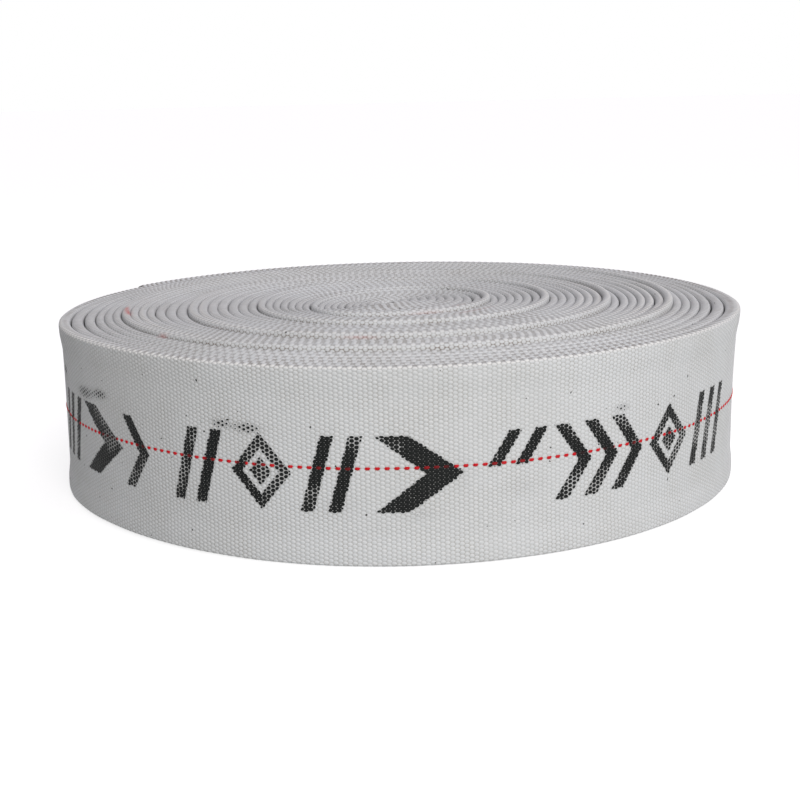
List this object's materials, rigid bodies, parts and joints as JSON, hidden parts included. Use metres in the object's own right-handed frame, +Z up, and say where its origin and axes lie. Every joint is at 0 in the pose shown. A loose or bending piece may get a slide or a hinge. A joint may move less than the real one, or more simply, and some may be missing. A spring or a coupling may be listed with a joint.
{
  "type": "rolled fire hose",
  "caption": "Woven lay-flat fire hose with a red tracer yarn, wound into a flat spiral roll whose free end peels off and whose turns push out into a cone.",
  "frame": {"origin": "middle of the plan outline of the roll, on the plane that the roll lies on", "axes": "+Z up, along the axis of the roll; -Y towards the side seen in front; the free outer end of the hose lies back left, at 150 degrees counter-clockwise from +X"},
  "size_m": [0.335, 0.3372, 0.082],
  "materials": {
    "woven_jacket": "matte plain weave, off-white, slightly soiled",
    "rubber_lining": "smooth matte black",
    "tracer_yarn": "matte red yarn"
  },
  "bodies": {
    "outer_ring": {"outer_ring_jacket": "woven_jacket", "outer_ring_lining": "rubber_lining", "outer_ring_tracer": "tracer_yarn"},
    "second_ring": {"second_ring_jacket": "woven_jacket", "second_ring_lining": "rubber_lining"},
    "third_ring": {"third_ring_jacket": "woven_jacket", "third_ring_lining": "rubber_lining"},
    "fourth_ring": {"fourth_ring_jacket": "woven_jacket", "fourth_ring_lining": "rubber_lining"},
    "core_ring": {"core_ring_jacket": "woven_jacket", "core_ring_lining": "rubber_lining"},
    "tail_1": {"tail_1_jacket": "woven_jacket", "tail_1_lining": "rubber_lining", "tail_1_tracer": "tracer_yarn"},
    "tail_2": {"tail_2_jacket": "woven_jacket", "tail_2_lining": "rubber_lining", "tail_2_tracer": "tracer_yarn"},
    "tail_3": {"tail_3_jacket": "woven_jacket", "tail_3_lining": "rubber_lining", "tail_3_tracer": "tracer_yarn"},
    "tail_4": {"tail_4_jacket": "woven_jacket", "tail_4_lining": "rubber_lining", "tail_4_tracer": "tracer_yarn"},
    "tail_5": {"tail_5_jacket": "woven_jacket", "tail_5_lining": "rubber_lining", "tail_5_tracer": "tracer_yarn"},
    "tail_6": {"tail_6_jacket": "woven_jacket", "tail_6_lining": "rubber_lining", "tail_6_tracer": "tracer_yarn"}
  },
  "joints": [
    {"name": "second_ring_slide", "type": "slide", "parent": "outer_ring", "child": "second_ring", "axis": [0, 0, 1], "range_m": [0, 0.012]},
    {"name": "third_ring_slide", "type": "slide", "parent": "second_ring", "child": "third_ring", "axis": [0, 0, 1], "range_m": [0, 0.012]},
    {"name": "fourth_ring_slide", "type": "slide", "parent": "third_ring", "child": "fourth_ring", "axis": [0, 0, 1], "range_m": [0, 0.012]},
    {"name": "core_ring_slide", "type": "slide", "parent": "fourth_ring", "child": "core_ring", "axis": [0, 0, 1], "range_m": [0, 0.012]},
    {"name": "tail_1_hinge", "type": "hinge", "parent": "outer_ring", "child": "tail_1", "pos_m": [0.14477, 0.08312, 0.041], "axis": [0, 0, -1], "range_deg": [0, 20]},
    {"name": "tail_2_hinge", "type": "hinge", "parent": "tail_1", "child": "tail_2", "pos_m": [0.10732, 0.12811, 0.041], "axis": [0, 0, -1], "range_deg": [0, 20]},
    {"name": "tail_3_hinge", "type": "hinge", "parent": "tail_2", "child": "tail_3", "pos_m": [0.05667, 0.15763, 0.041], "axis": [0, 0, -1], "range_deg": [0, 20]},
    {"name": "tail_4_hinge", "type": "hinge", "parent": "tail_3", "child": "tail_4", "pos_m": [-0.0011, 0.16807, 0.041], "axis": [0, 0, -1], "range_deg": [0, 20]},
    {"name": "tail_5_hinge", "type": "hinge", "parent": "tail_4", "child": "tail_5", "pos_m": [-0.05904, 0.15809, 0.041], "axis": [0, 0, -1], "range_deg": [0, 20]},
    {"name": "tail_6_hinge", "type": "hinge", "parent": "tail_5", "child": "tail_6", "pos_m": [-0.11015, 0.12886, 0.041], "axis": [0, 0, -1], "range_deg": [0, 20]}
  ],
  "couplings": [
    {"joint": "third_ring_slide", "follows": "second_ring_slide", "ratio": 1},
    {"joint": "fourth_ring_slide", "follows": "second_ring_slide", "ratio": 1},
    {"joint": "core_ring_slide", "follows": "second_ring_slide", "ratio": 1},
    {"joint": "tail_2_hinge", "follows": "tail_1_hinge", "ratio": 1},
    {"joint": "tail_3_hinge", "follows": "tail_1_hinge", "ratio": 1},
    {"joint": "tail_4_hinge", "follows": "tail_1_hinge", "ratio": 1},
    {"joint": "tail_5_hinge", "follows": "tail_1_hinge", "ratio": 1},
    {"joint": "tail_6_hinge", "follows": "tail_1_hinge", "ratio": 1}
  ]
}
